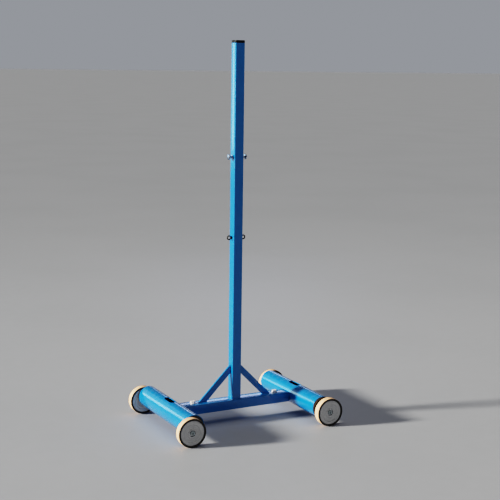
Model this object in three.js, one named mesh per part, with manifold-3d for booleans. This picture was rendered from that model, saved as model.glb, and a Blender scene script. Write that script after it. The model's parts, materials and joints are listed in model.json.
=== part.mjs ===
// Mobile badminton net post: a square upright on a crossbar, carried by two ballast tubes
// on four wheels.
// Millimetres, +Z up. The origin is on the floor under the middle of the upright. +X runs along
// the crossbar to the right and +Y along the ballast tubes to the rear.
import * as THREE from 'three';
import { mergeVertices } from 'three/addons/utils/BufferGeometryUtils.js';
import Module from 'manifold-3d';

const wasm = await Module();
wasm.setup();

// Height of the whole post, floor to the top of its cap
const POST_HEIGHT = 1550;

// Gap left between pieces that seat on each other, and between turning pieces
const SEAT_GAP = 0.3;
const RUNNING_GAP = 0.3;
// How far a cutting tool runs past the piece that it cuts
const OVERRUN = 5;
// Vertices closer than this are one vertex
const MERGE_DISTANCE = 0.0005;

// Wheels
const WHEEL_RADIUS = 57.5;
const WHEEL_WIDTH = 30;
const WHEEL_SIDES = 32;
const TREAD_THICKNESS = 3;
const TREAD_EDGE = 0.9;
const TYRE_CORE_THICKNESS = 3.8;
const TYRE_CORE_PROUD = 0.6;
const TYRE_SHOULDER_WIDTH = 2;
const TYRE_SHOULDER_DROP = 0.4;
const DISC_RIM_INSET = 1;
const DISC_RIM_EDGE = 1.5;
const DISC_RIM_BAND = 11;
const DISC_WEB_INSET = 3.5;
const DISC_STEP = 2;
const HUB_RADIUS = 16;
const HUB_DRAFT = 1.5;
const HUB_INSET = 0.4;
const COUNTERBORE_RADIUS = 13;
const COUNTERBORE_DEPTH = 8;

// Axle bolts, bushes, washers and spacers
const AXLE_RADIUS = 6;
const AXLE_ENGAGEMENT = 12;
const AXLE_HEAD_RADIUS = 9.5;
const AXLE_HEAD_HEIGHT = 5.4;
const AXLE_HEAD_EDGE = 0.8;
const BUSH_WALL = 2.7;
const AXLE_WASHER_RADIUS = 12;
const AXLE_WASHER_THICKNESS = 1.8;
const SPACER_RADIUS = 11;
const WHEEL_STANDOFF = 4;
const TURNED_SIDES = 16;

// The axle sits outboard of the ballast tube's centre and below it
const AXLE_OUTBOARD = 20;
const AXLE_DROP = 17;

// Ballast tubes, their end plates and their fill
const BALLAST_SPACING = 580;
const BALLAST_RADIUS = 44.45;
const BALLAST_WALL = 3.2;
const BALLAST_LENGTH = 446;
const BALLAST_SIDES = 40;
const END_PLATE_THICKNESS = 5;
const BOSS_RADIUS = 12;
const BOSS_LENGTH = 14;
const SLOT_LENGTH = 76;
const SLOT_WIDTH = 26;
const SLOT_END_STEPS = 8;
const FILL_TOP_ABOVE_AXIS = 20;

// Crossbar and the stub tubes that plug into its ends
const CROSSBAR_HEIGHT = 40;
const CROSSBAR_DEPTH = 60;
const CROSSBAR_WALL = 2;
const CROSSBAR_CORNER = 3.5;
const CROSSBAR_BELOW_BALLAST_AXIS = 3;
const CROSSBAR_END_CLEARANCE = 0.6;
const STUB_CLEARANCE = 0.5;
const STUB_WALL = 2.5;
const STUB_CORNER = 3;
const STUB_INSERTION = 105;
const CORNER_STEPS = 3;

// Clamping bolts through crossbar and stub tube
const CLAMP_BOLT_FROM_END = 55;
const CLAMP_BOLT_RADIUS = 6;
const CLAMP_FLATS = 19;
const CLAMP_HEAD_HEIGHT = 7.5;
const CLAMP_WASHER_RADIUS = 12;
const CLAMP_WASHER_THICKNESS = 2.5;
const CLAMP_NUT_HEIGHT = 6;
const CLAMP_THREAD_PROUD = 1.5;

// Upright and its cap
const UPRIGHT_SIDE = 40;
const UPRIGHT_WALL = 2;
const UPRIGHT_CORNER = 3.5;
const CAP_THICKNESS = 10;
const CAP_EDGE = 1.5;
const CAP_PLUG_DEPTH = 22;
const CORD_GROOVE_WIDTH = 6;
const CORD_GROOVE_DEPTH = 7;

// Flat-bar braces between upright and crossbar
const BRACE_WIDTH = 25;
const BRACE_THICKNESS = 8;
const BRACE_FOOT_TO_CLAMP = 25;
const BRACE_RISE = 145;

// Knobs and eyes on the upright's sides, each pair on a rod through it
const ROD_RADIUS = 3;
const KNOB_HEIGHT = 1090;
const KNOB_FLANGE_RADIUS = 9;
const KNOB_FLANGE_THICKNESS = 3;
const KNOB_NECK_RADIUS = 5;
const KNOB_NECK_LENGTH = 11;
const KNOB_HEAD_RADIUS = 11;
const KNOB_HEAD_THICKNESS = 6;
const KNOB_HEAD_EDGE = 2;
const KNOB_SIDES = 20;
const EYE_HEIGHT = 764;
const EYE_COLLAR_RADIUS = 6;
const EYE_COLLAR_LENGTH = 4;
const EYE_RING_RADIUS = 7.6;
const EYE_WIRE_RADIUS = 2.4;
const EYE_COLLAR_END_WALL = 0.8;
const EYE_RING_SIDES = 24;
const EYE_WIRE_SIDES = 8;

// Heights and places that follow from the sizes above
const ballastAxisHeight = WHEEL_RADIUS + AXLE_DROP;
const crossbarAxisHeight = ballastAxisHeight - CROSSBAR_BELOW_BALLAST_AXIS;
const crossbarTop = crossbarAxisHeight + CROSSBAR_HEIGHT / 2;
const crossbarBottom = crossbarAxisHeight - CROSSBAR_HEIGHT / 2;
const uprightTop = POST_HEIGHT - CAP_THICKNESS;
const ballastX = BALLAST_SPACING / 2;
const axleX = ballastX + AXLE_OUTBOARD;
const crossbarEnd = ballastX - BALLAST_RADIUS - CROSSBAR_END_CLEARANCE;
const clampX = crossbarEnd - CLAMP_BOLT_FROM_END;
const braceReach = clampX - BRACE_FOOT_TO_CLAMP - UPRIGHT_SIDE / 2;
const plateOuterFace = BALLAST_LENGTH / 2;
const plateInnerFace = plateOuterFace - END_PLATE_THICKNESS;
const plateRadius = BALLAST_RADIUS - BALLAST_WALL - SEAT_GAP;
const wheelMiddle = plateOuterFace + WHEEL_STANDOFF + WHEEL_WIDTH / 2;
const knobNeckEnd = KNOB_FLANGE_THICKNESS + KNOB_NECK_LENGTH;
const eyeThreadDepth = EYE_COLLAR_LENGTH - EYE_COLLAR_END_WALL;

// Finishes: colour, roughness and metalness as the photograph shows them
const FINISH = {
  bluePaint: { color: 0x1f78bd, roughness: 0.32, metalness: 0 },
  blackPaint: { color: 0x101418, roughness: 0.45, metalness: 0 },
  blackRubber: { color: 0x17181a, roughness: 0.75, metalness: 0 },
  blackPlastic: { color: 0x121316, roughness: 0.5, metalness: 0 },
  creamRubber: { color: 0xe6cfae, roughness: 0.7, metalness: 0 },
  greyNylon: { color: 0x7f817d, roughness: 0.55, metalness: 0 },
  whiteNylon: { color: 0xd9d8d0, roughness: 0.5, metalness: 0 },
  zincSteel: { color: 0xb9bdc1, roughness: 0.35, metalness: 0.9 },
  castBallast: { color: 0x6d6b66, roughness: 0.9, metalness: 0 },
};

// Closed solid from a geometry, for cutting and joining
function solidOf(geometry) {
  const plain = geometry.clone();
  plain.deleteAttribute('normal');
  plain.deleteAttribute('uv');
  const merged = mergeVertices(plain, MERGE_DISTANCE);
  const index = merged.index.array;
  const kept = [];
  for (let i = 0; i < index.length; i += 3) {
    const [a, b, c] = [index[i], index[i + 1], index[i + 2]];
    if (a !== b && b !== c && c !== a) kept.push(a, b, c);
  }
  return new wasm.Manifold(new wasm.Mesh({
    numProp: 3,
    vertProperties: new Float32Array(merged.attributes.position.array),
    triVerts: new Uint32Array(kept),
  }));
}

function geometryOf(solid) {
  const result = solid.getMesh();
  const geometry = new THREE.BufferGeometry();
  geometry.setAttribute('position', new THREE.BufferAttribute(result.vertProperties, 3));
  geometry.setIndex(new THREE.BufferAttribute(result.triVerts, 1));
  return geometry;
}

function cut(geometry, ...tools) {
  let solid = solidOf(geometry);
  for (const tool of tools) solid = solid.subtract(solidOf(tool));
  return geometryOf(solid);
}

function join(geometry, ...others) {
  let solid = solidOf(geometry);
  for (const other of others) solid = solid.add(solidOf(other));
  return geometryOf(solid);
}

function common(geometry, other) {
  return geometryOf(solidOf(geometry).intersect(solidOf(other)));
}

// Solid of revolution about Y. The profile is a list of [radius, height] pairs, counter-clockwise.
// It closes on itself unless it starts and ends on the axis. Flats face the six main directions.
function turned(profile, sides) {
  const points = profile.map(([radius, height]) => new THREE.Vector2(radius, height));
  const onAxis = points[0].x === 0 && points[points.length - 1].x === 0;
  if (!onAxis) points.push(points[0].clone());
  return new THREE.LatheGeometry(points, sides, Math.PI / sides, 2 * Math.PI);
}

// Plain ring between two radii, from one height to another
function ring(inner, outer, low, high, sides) {
  return turned([[inner, low], [outer, low], [outer, high], [inner, high]], sides);
}

// Plain round bar
function bar(radius, low, high, sides) {
  return turned([[0, low], [radius, low], [radius, high], [0, high]], sides);
}

// Turns a piece made about Y so that its +Y end points up, or along +X
function standing(geometry) {
  return geometry.rotateX(Math.PI / 2);
}

function sideways(geometry) {
  return geometry.rotateZ(-Math.PI / 2);
}

// Box between two corners
function block(low, high) {
  const size = high.map((value, axis) => value - low[axis]);
  const middle = high.map((value, axis) => (value + low[axis]) / 2);
  return new THREE.BoxGeometry(...size).translate(...middle);
}

// Adds a rectangle with rounded corners to a shape or a hole
function roundedOblong(path, width, depth, corner) {
  const right = width / 2;
  const back = depth / 2;
  const innerRight = right - corner;
  const innerBack = back - corner;
  path.moveTo(right, -innerBack);
  path.lineTo(right, innerBack);
  path.absarc(innerRight, innerBack, corner, 0, Math.PI / 2, false);
  path.lineTo(-innerRight, back);
  path.absarc(-innerRight, innerBack, corner, Math.PI / 2, Math.PI, false);
  path.lineTo(-right, -innerBack);
  path.absarc(-innerRight, -innerBack, corner, Math.PI, 1.5 * Math.PI, false);
  path.lineTo(innerRight, -back);
  path.absarc(innerRight, -innerBack, corner, 1.5 * Math.PI, 2 * Math.PI, false);
  return path;
}

// Rectangular tube along +Z from 0 to its length, open at both ends
function boxTube(width, depth, wall, corner, length) {
  const outline = roundedOblong(new THREE.Shape(), width, depth, corner);
  const innerCorner = Math.max(corner - wall, corner / 4);
  const hollow = new THREE.Path();
  outline.holes.push(roundedOblong(hollow, width - 2 * wall, depth - 2 * wall, innerCorner));
  return new THREE.ExtrudeGeometry(outline, {
    depth: length,
    bevelEnabled: false,
    curveSegments: CORNER_STEPS,
  });
}

// Hexagon bar along +Z, with two flats facing +Y and -Y
function hexagon(flats, height) {
  const outline = new THREE.Shape();
  const corner = flats / Math.sqrt(3);
  for (let i = 0; i < 6; i += 1) {
    const angle = i * Math.PI / 3;
    const point = [corner * Math.cos(angle), corner * Math.sin(angle)];
    if (i === 0) outline.moveTo(...point);
    else outline.lineTo(...point);
  }
  outline.closePath();
  return new THREE.ExtrudeGeometry(outline, { depth: height, bevelEnabled: false });
}

function piece(name, geometry, finish) {
  const mesh = new THREE.Mesh(geometry, new THREE.MeshStandardMaterial(finish));
  mesh.name = name;
  return mesh;
}

function placed(mesh, x, y, z) {
  mesh.position.set(x, y, z);
  return mesh;
}

const part = new THREE.Group();
part.name = 'badminton_centre_post';

// Upright: square tube from the crossbar's top face to the cap, drilled for the two rods
function uprightTube() {
  const length = uprightTop - crossbarTop;
  const tube = boxTube(UPRIGHT_SIDE, UPRIGHT_SIDE, UPRIGHT_WALL, UPRIGHT_CORNER, length);
  const holes = [EYE_HEIGHT, KNOB_HEIGHT].map((height) => {
    const reach = UPRIGHT_SIDE / 2 + OVERRUN;
    const drill = sideways(bar(ROD_RADIUS + SEAT_GAP, -reach, reach, TURNED_SIDES));
    return drill.translate(0, 0, height - crossbarTop);
  });
  return cut(tube, ...holes);
}

// Cap: a plug inside the tube under a square head, with a groove across it
function capGeometry() {
  const half = UPRIGHT_SIDE / 2;
  const headOutline = new THREE.Shape();
  roundedOblong(headOutline, UPRIGHT_SIDE, UPRIGHT_SIDE, UPRIGHT_CORNER);
  const head = new THREE.ExtrudeGeometry(headOutline, {
    depth: CAP_THICKNESS - CAP_EDGE,
    bevelEnabled: false,
    curveSegments: CORNER_STEPS,
  });
  const topSide = UPRIGHT_SIDE - 2 * CAP_EDGE;
  const topOutline = new THREE.Shape();
  roundedOblong(topOutline, topSide, topSide, UPRIGHT_CORNER - CAP_EDGE);
  const top = new THREE.ExtrudeGeometry(topOutline, {
    depth: CAP_THICKNESS / 2,
    bevelEnabled: true,
    bevelThickness: CAP_EDGE,
    bevelSize: CAP_EDGE,
    bevelSegments: 1,
    curveSegments: CORNER_STEPS,
  }).translate(0, 0, CAP_THICKNESS / 2 - CAP_EDGE);
  const plugSide = UPRIGHT_SIDE - 2 * UPRIGHT_WALL - 2 * SEAT_GAP;
  const plugOutline = new THREE.Shape();
  roundedOblong(plugOutline, plugSide, plugSide, UPRIGHT_CORNER - UPRIGHT_WALL);
  const plug = new THREE.ExtrudeGeometry(plugOutline, {
    depth: CAP_PLUG_DEPTH + CAP_THICKNESS / 2,
    bevelEnabled: false,
    curveSegments: CORNER_STEPS,
  }).translate(0, 0, -CAP_PLUG_DEPTH);
  const groove = block(
    [-half - OVERRUN, -CORD_GROOVE_WIDTH / 2, CAP_THICKNESS - CORD_GROOVE_DEPTH],
    [half + OVERRUN, CORD_GROOVE_WIDTH / 2, CAP_THICKNESS + OVERRUN],
  );
  const body = join(head, top, plug);
  return cut(body, groove);
}

part.add(placed(piece('upright_tube', uprightTube(), FINISH.bluePaint), 0, 0, crossbarTop));
part.add(placed(piece('upright_cap', capGeometry(), FINISH.blackPlastic), 0, 0, uprightTop));

// Crossbar: rectangular tube on its wide side, open at its ends, drilled for the clamping bolts
function clampHole(top, bottom) {
  const length = top - bottom + OVERRUN;
  const drill = standing(bar(CLAMP_BOLT_RADIUS + SEAT_GAP, -OVERRUN, length, TURNED_SIDES));
  return drill.translate(0, 0, bottom);
}

function crossbarGeometry() {
  const length = 2 * crossbarEnd;
  const tube = boxTube(CROSSBAR_HEIGHT, CROSSBAR_DEPTH, CROSSBAR_WALL, CROSSBAR_CORNER, length);
  tube.translate(0, 0, -crossbarEnd).rotateY(Math.PI / 2);
  const half = CROSSBAR_HEIGHT / 2;
  const holes = [-1, 1].map((end) => clampHole(half, -half).translate(end * clampX, 0, 0));
  return cut(tube, ...holes);
}

const crossbar = piece('crossbar_tube', crossbarGeometry(), FINISH.bluePaint);
part.add(placed(crossbar, 0, 0, crossbarAxisHeight));

// Brace: flat bar on a slope, cut to stand against the upright and on the crossbar's top face
function braceGeometry() {
  const slopeLength = Math.hypot(braceReach, BRACE_RISE);
  const heightOnUpright = BRACE_WIDTH * slopeLength / braceReach;
  const lengthOnCrossbar = BRACE_WIDTH * slopeLength / BRACE_RISE;
  const outline = new THREE.Shape();
  outline.moveTo(SEAT_GAP, BRACE_RISE - heightOnUpright);
  outline.lineTo(braceReach - lengthOnCrossbar, SEAT_GAP);
  outline.lineTo(braceReach, SEAT_GAP);
  outline.lineTo(SEAT_GAP, BRACE_RISE);
  outline.closePath();
  const flat = new THREE.ExtrudeGeometry(outline, { depth: BRACE_THICKNESS, bevelEnabled: false });
  return flat.rotateX(Math.PI / 2).translate(0, BRACE_THICKNESS / 2, 0);
}

for (const [name, side] of [['brace_left', -1], ['brace_right', 1]]) {
  const brace = piece(name, braceGeometry(), FINISH.bluePaint);
  brace.position.set(side * UPRIGHT_SIDE / 2, 0, crossbarTop);
  if (side < 0) brace.rotation.z = Math.PI;
  part.add(brace);
}

// Rod across the upright, with its ends inside the fittings on both faces
function rod(engagement) {
  const reach = UPRIGHT_SIDE / 2 + engagement - SEAT_GAP;
  return sideways(bar(ROD_RADIUS, -reach, reach, TURNED_SIDES));
}

// Knob: flange, neck and flat round head, bored from its flange
function knobGeometry() {
  const bore = ROD_RADIUS + SEAT_GAP;
  const headEnd = knobNeckEnd + KNOB_HEAD_THICKNESS;
  const headFlat = KNOB_HEAD_RADIUS - KNOB_HEAD_EDGE;
  const profile = [
    [0, knobNeckEnd], [bore, knobNeckEnd], [bore, 0],
    [KNOB_FLANGE_RADIUS, 0], [KNOB_FLANGE_RADIUS, KNOB_FLANGE_THICKNESS],
    [KNOB_NECK_RADIUS, KNOB_FLANGE_THICKNESS], [KNOB_NECK_RADIUS, knobNeckEnd],
    [headFlat, knobNeckEnd], [KNOB_HEAD_RADIUS, knobNeckEnd + KNOB_HEAD_EDGE],
    [KNOB_HEAD_RADIUS, headEnd - KNOB_HEAD_EDGE], [headFlat, headEnd], [0, headEnd],
  ];
  return sideways(turned(profile, KNOB_SIDES));
}

// Eye: collar on the face, and a ring whose opening faces front and rear
function eyeGeometry() {
  const ringCentre = EYE_COLLAR_LENGTH + EYE_RING_RADIUS;
  const section = [];
  for (let i = 0; i < EYE_WIRE_SIDES; i += 1) {
    const angle = 2 * Math.PI * i / EYE_WIRE_SIDES;
    section.push([
      EYE_RING_RADIUS + EYE_WIRE_RADIUS * Math.cos(angle),
      EYE_WIRE_RADIUS * Math.sin(angle),
    ]);
  }
  const loop = turned(section, EYE_RING_SIDES).translate(ringCentre, 0, 0);
  const collar = sideways(bar(EYE_COLLAR_RADIUS, 0, EYE_COLLAR_LENGTH, TURNED_SIDES));
  const bore = sideways(bar(ROD_RADIUS + SEAT_GAP, -OVERRUN, eyeThreadDepth, TURNED_SIDES));
  return cut(join(collar, loop), bore);
}

const fittings = [
  ['cord_knob', KNOB_HEIGHT, knobNeckEnd, knobGeometry, FINISH.zincSteel],
  ['cord_eye', EYE_HEIGHT, eyeThreadDepth, eyeGeometry, FINISH.blackPlastic],
];
for (const [name, height, engagement, geometry, finish] of fittings) {
  part.add(placed(piece(`${name}_rod`, rod(engagement), FINISH.zincSteel), 0, 0, height));
  for (const [sideName, side] of [['left', -1], ['right', 1]]) {
    const fitting = piece(`${name}_${sideName}`, geometry(), finish);
    fitting.position.set(side * (UPRIGHT_SIDE / 2 + SEAT_GAP), 0, height);
    if (side < 0) fitting.rotation.z = Math.PI;
    part.add(fitting);
  }
}

// Ballast tube along Y, with the filling slot cut through its top
function slotOutline() {
  const radius = SLOT_WIDTH / 2;
  const straight = (SLOT_LENGTH - SLOT_WIDTH) / 2;
  const outline = new THREE.Shape();
  outline.moveTo(radius, -straight);
  outline.lineTo(radius, straight);
  outline.absarc(0, straight, radius, 0, Math.PI, false);
  outline.lineTo(-radius, -straight);
  outline.absarc(0, -straight, radius, Math.PI, 2 * Math.PI, false);
  return outline;
}

function ballastTube() {
  const half = BALLAST_LENGTH / 2;
  const tube = ring(BALLAST_RADIUS - BALLAST_WALL, BALLAST_RADIUS, -half, half, BALLAST_SIDES);
  const slot = new THREE.ExtrudeGeometry(slotOutline(), {
    depth: BALLAST_RADIUS + OVERRUN,
    bevelEnabled: false,
    curveSegments: SLOT_END_STEPS,
  });
  return cut(tube, slot);
}

// Cast fill, level on top, with a pocket round the boss at each end
function ballastFill(side) {
  const half = plateInnerFace - SEAT_GAP;
  const low = [-plateRadius, -half, -plateRadius];
  const level = block(low, [plateRadius, half, FILL_TOP_ABOVE_AXIS]);
  const pockets = [-1, 1].map((end) => {
    const pocket = bar(BOSS_RADIUS + SEAT_GAP, half - BOSS_LENGTH, half + OVERRUN, TURNED_SIDES);
    if (end < 0) pocket.rotateZ(Math.PI);
    return pocket.translate(side * AXLE_OUTBOARD, 0, -AXLE_DROP);
  });
  return cut(common(bar(plateRadius, -half, half, BALLAST_SIDES), level), ...pockets);
}

// End plate inside the tube's end, with a threaded boss on its inner face for the axle bolt
function endPlate(side, end) {
  const plate = bar(plateRadius, 0, END_PLATE_THICKNESS, BALLAST_SIDES);
  const boss = bar(BOSS_RADIUS, -BOSS_LENGTH + SEAT_GAP, END_PLATE_THICKNESS / 2, TURNED_SIDES);
  const boreEnd = END_PLATE_THICKNESS + OVERRUN;
  const bore = bar(AXLE_RADIUS + SEAT_GAP, -BOSS_LENGTH - OVERRUN, boreEnd, TURNED_SIDES);
  const axleSide = side * end * AXLE_OUTBOARD;
  boss.translate(axleSide, 0, -AXLE_DROP);
  bore.translate(axleSide, 0, -AXLE_DROP);
  return cut(join(plate, boss), bore);
}

// Stub tube that plugs into the crossbar and is saddled to the ballast tube
function stubTube() {
  const smaller = 2 * (CROSSBAR_WALL + STUB_CLEARANCE);
  const height = CROSSBAR_HEIGHT - smaller;
  const depth = CROSSBAR_DEPTH - smaller;
  const start = crossbarEnd - STUB_INSERTION;
  const tube = boxTube(height, depth, STUB_WALL, STUB_CORNER, ballastX - start);
  tube.rotateY(Math.PI / 2).translate(start, 0, 0);
  const reach = BALLAST_LENGTH / 2;
  const saddle = bar(BALLAST_RADIUS + SEAT_GAP, -reach, reach, BALLAST_SIDES);
  saddle.translate(ballastX, 0, CROSSBAR_BELOW_BALLAST_AXIS);
  const hole = clampHole(height / 2, -height / 2).translate(clampX, 0, 0);
  return cut(tube, saddle, hole);
}

// Clamping bolt: hexagon head on top, shank down through the nut, thread end standing proud
function clampBolt() {
  const head = hexagon(CLAMP_FLATS, CLAMP_HEAD_HEIGHT);
  const grip = CROSSBAR_HEIGHT + 2 * CLAMP_WASHER_THICKNESS;
  const tip = -grip - CLAMP_NUT_HEIGHT - CLAMP_THREAD_PROUD;
  const shank = standing(bar(CLAMP_BOLT_RADIUS, tip, CLAMP_HEAD_HEIGHT / 2, TURNED_SIDES));
  return join(head, shank);
}

function clampNut() {
  const bore = clampHole(CLAMP_NUT_HEIGHT, 0);
  return cut(hexagon(CLAMP_FLATS, CLAMP_NUT_HEIGHT), bore);
}

function clampWasher() {
  return standing(ring(
    CLAMP_BOLT_RADIUS + SEAT_GAP, CLAMP_WASHER_RADIUS, 0, CLAMP_WASHER_THICKNESS, KNOB_SIDES,
  ));
}

// Wheel pieces, about Y through the axle, with the outer face towards +Y
const halfWidth = WHEEL_WIDTH / 2;
const flatToCorner = 1 / Math.cos(Math.PI / WHEEL_SIDES);
const tyreInner = WHEEL_RADIUS - TREAD_THICKNESS;
const coreOuter = tyreInner - SEAT_GAP;
const coreInner = coreOuter - TYRE_CORE_THICKNESS;
const shoulderRadius = WHEEL_RADIUS - TYRE_SHOULDER_DROP;
const shoulderInner = halfWidth - TYRE_SHOULDER_WIDTH;
const discRadius = coreInner - SEAT_GAP;
const bushOuter = AXLE_RADIUS + RUNNING_GAP + BUSH_WALL;
const seatFloor = halfWidth - COUNTERBORE_DEPTH;

// Wheel profile turned so that its flats, not its corners, lie at the given radii
function wheelTurned(profile) {
  return turned(profile.map(([radius, height]) => [radius * flatToCorner, height]), WHEEL_SIDES);
}

// Tread: a band that lies between the two shoulders of the tyre core
function treadGeometry() {
  const side = shoulderInner - SEAT_GAP;
  const flat = side - TREAD_EDGE;
  const edgeRadius = WHEEL_RADIUS - TREAD_EDGE;
  return wheelTurned([
    [tyreInner, -side], [edgeRadius, -side], [WHEEL_RADIUS, -flat],
    [WHEEL_RADIUS, flat], [edgeRadius, side], [tyreInner, side],
  ]);
}

function tyreCoreGeometry() {
  const face = halfWidth + TYRE_CORE_PROUD;
  return wheelTurned([
    [coreInner, -face], [shoulderRadius, -face], [shoulderRadius, -shoulderInner],
    [coreOuter, -shoulderInner], [coreOuter, shoulderInner], [shoulderRadius, shoulderInner],
    [shoulderRadius, face], [coreInner, face],
  ]);
}

function discGeometry() {
  const rim = halfWidth - DISC_RIM_INSET;
  const web = halfWidth - DISC_WEB_INSET;
  const hub = halfWidth - HUB_INSET;
  const bandInner = discRadius - DISC_RIM_BAND;
  const hubFoot = HUB_RADIUS + HUB_DRAFT;
  const bore = bushOuter + SEAT_GAP;
  return wheelTurned([
    [bore, -halfWidth], [HUB_RADIUS, -halfWidth], [hubFoot, -web], [bandInner - DISC_STEP, -web],
    [bandInner, -rim], [discRadius - DISC_RIM_EDGE, -rim], [discRadius, DISC_RIM_EDGE - rim],
    [discRadius, rim - DISC_RIM_EDGE], [discRadius - DISC_RIM_EDGE, rim], [bandInner, rim],
    [bandInner - DISC_STEP, web], [hubFoot, web], [HUB_RADIUS, hub], [COUNTERBORE_RADIUS, hub],
    [COUNTERBORE_RADIUS, seatFloor], [bore, seatFloor],
  ]);
}

function bushGeometry() {
  return ring(AXLE_RADIUS + RUNNING_GAP, bushOuter, -halfWidth, seatFloor, TURNED_SIDES);
}

const washerLow = seatFloor + RUNNING_GAP;
const washerHigh = washerLow + AXLE_WASHER_THICKNESS;

function axleWasher() {
  return ring(AXLE_RADIUS + SEAT_GAP, AXLE_WASHER_RADIUS, washerLow, washerHigh, TURNED_SIDES);
}

function axleBolt() {
  const headLow = washerHigh + SEAT_GAP;
  const headHigh = headLow + AXLE_HEAD_HEIGHT;
  const tip = -halfWidth - WHEEL_STANDOFF - END_PLATE_THICKNESS - AXLE_ENGAGEMENT;
  return turned([
    [0, tip], [AXLE_RADIUS, tip], [AXLE_RADIUS, headLow], [AXLE_HEAD_RADIUS, headLow],
    [AXLE_HEAD_RADIUS, headHigh - AXLE_HEAD_EDGE], [AXLE_HEAD_RADIUS - AXLE_HEAD_EDGE, headHigh],
    [0, headHigh],
  ], TURNED_SIDES);
}

function spacerGeometry() {
  const low = -halfWidth - WHEEL_STANDOFF + SEAT_GAP;
  return ring(AXLE_RADIUS + SEAT_GAP, SPACER_RADIUS, low, -halfWidth - RUNNING_GAP, TURNED_SIDES);
}

const wheelPieces = [
  ['wheel_tread', treadGeometry, FINISH.creamRubber],
  ['wheel_tyre_core', tyreCoreGeometry, FINISH.blackRubber],
  ['wheel_disc', discGeometry, FINISH.greyNylon],
  ['wheel_bush', bushGeometry, FINISH.whiteNylon],
  ['axle_washer', axleWasher, FINISH.zincSteel],
  ['axle_bolt', axleBolt, FINISH.zincSteel],
  ['axle_spacer', spacerGeometry, FINISH.zincSteel],
];

function wheel(corner, side, end) {
  const group = new THREE.Group();
  for (const [name, geometry, finish] of wheelPieces) {
    group.add(piece(`${corner}_${name}`, geometry(), finish));
  }
  group.position.set(side * axleX, end * wheelMiddle, WHEEL_RADIUS);
  if (end < 0) group.rotation.z = Math.PI;
  return group;
}

// One side of the base: ballast tube with its stub, fill, end plates, clamping bolt and wheels
function baseSide(sideName, side) {
  const group = new THREE.Group();
  const x = side * ballastX;
  const tube = piece(`${sideName}_ballast_tube`, ballastTube(), FINISH.bluePaint);
  const fill = piece(`${sideName}_ballast_fill`, ballastFill(side), FINISH.castBallast);
  group.add(placed(tube, x, 0, ballastAxisHeight));
  group.add(placed(fill, x, 0, ballastAxisHeight));
  const stub = piece(`${sideName}_stub_tube`, stubTube(), FINISH.bluePaint);
  stub.position.z = crossbarAxisHeight;
  if (side < 0) stub.rotation.z = Math.PI;
  group.add(stub);
  const boltX = side * clampX;
  const washerBelow = crossbarBottom - CLAMP_WASHER_THICKNESS;
  const clampPieces = [
    ['clamp_bolt', clampBolt, crossbarTop + CLAMP_WASHER_THICKNESS],
    ['clamp_washer_upper', clampWasher, crossbarTop],
    ['clamp_washer_lower', clampWasher, washerBelow],
    ['clamp_nut', clampNut, washerBelow - CLAMP_NUT_HEIGHT],
  ];
  for (const [name, geometry, z] of clampPieces) {
    group.add(placed(piece(`${sideName}_${name}`, geometry(), FINISH.zincSteel), boltX, 0, z));
  }
  for (const [endName, end] of [['front', -1], ['rear', 1]]) {
    const corner = `${sideName}_${endName}`;
    const plate = piece(`${corner}_end_plate`, endPlate(side, end), FINISH.blackPaint);
    plate.position.set(x, end * plateInnerFace, ballastAxisHeight);
    if (end < 0) plate.rotation.z = Math.PI;
    group.add(plate);
    group.add(wheel(corner, side, end));
  }
  return group;
}

part.add(baseSide('left', -1));
part.add(baseSide('right', 1));

export default part;
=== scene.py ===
# Looks of the badminton net post: painted steel tubes, cast ballast, rubber-tyred wheels and
# plated fittings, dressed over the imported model. Sizes are in metres.
import json
import math

import bmesh
import bpy
from mathutils import Matrix, Vector, noise


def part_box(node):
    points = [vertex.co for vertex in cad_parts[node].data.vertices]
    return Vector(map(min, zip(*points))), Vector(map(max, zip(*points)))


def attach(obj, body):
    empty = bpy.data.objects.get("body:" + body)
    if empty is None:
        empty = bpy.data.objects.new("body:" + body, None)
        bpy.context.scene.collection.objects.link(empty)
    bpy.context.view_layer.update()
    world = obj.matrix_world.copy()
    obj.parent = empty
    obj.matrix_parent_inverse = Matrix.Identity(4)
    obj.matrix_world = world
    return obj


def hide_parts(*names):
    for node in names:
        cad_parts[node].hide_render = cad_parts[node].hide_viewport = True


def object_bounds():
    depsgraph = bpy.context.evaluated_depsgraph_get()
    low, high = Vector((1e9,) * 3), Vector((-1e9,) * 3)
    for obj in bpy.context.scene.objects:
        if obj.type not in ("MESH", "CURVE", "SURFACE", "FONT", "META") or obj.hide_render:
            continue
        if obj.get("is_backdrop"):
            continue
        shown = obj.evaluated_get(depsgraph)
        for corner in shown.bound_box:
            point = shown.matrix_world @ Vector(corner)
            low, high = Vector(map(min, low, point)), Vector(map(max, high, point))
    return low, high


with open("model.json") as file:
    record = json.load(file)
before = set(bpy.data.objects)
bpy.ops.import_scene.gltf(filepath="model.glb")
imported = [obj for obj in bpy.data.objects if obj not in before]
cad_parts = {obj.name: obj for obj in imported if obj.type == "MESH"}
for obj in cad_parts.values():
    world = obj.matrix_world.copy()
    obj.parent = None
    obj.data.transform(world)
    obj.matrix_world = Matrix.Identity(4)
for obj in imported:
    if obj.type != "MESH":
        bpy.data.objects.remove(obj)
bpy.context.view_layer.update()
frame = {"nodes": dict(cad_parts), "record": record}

MM = 0.001
FULL_TURN = 2 * math.pi
SIDEWAYS = Vector((1, 0, 0))
UPWARD = Vector((0, 0, 1))
SIDES = {"left": -1, "right": 1}

# Camera, fitted to the edges of the post in the photograph
IMAGE_SIDE_PX = 500
FOCAL_LENGTH_PX = 1142.1
SENSOR_WIDTH_MM = 36
CAMERA_PLACE = (-2.1007, -4.0687, 1.4588)
CAMERA_HEADING_DEG = 28.022
CAMERA_DOWN_DEG = 9.2575
CAMERA_ROLL_DEG = 0.7554


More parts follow.
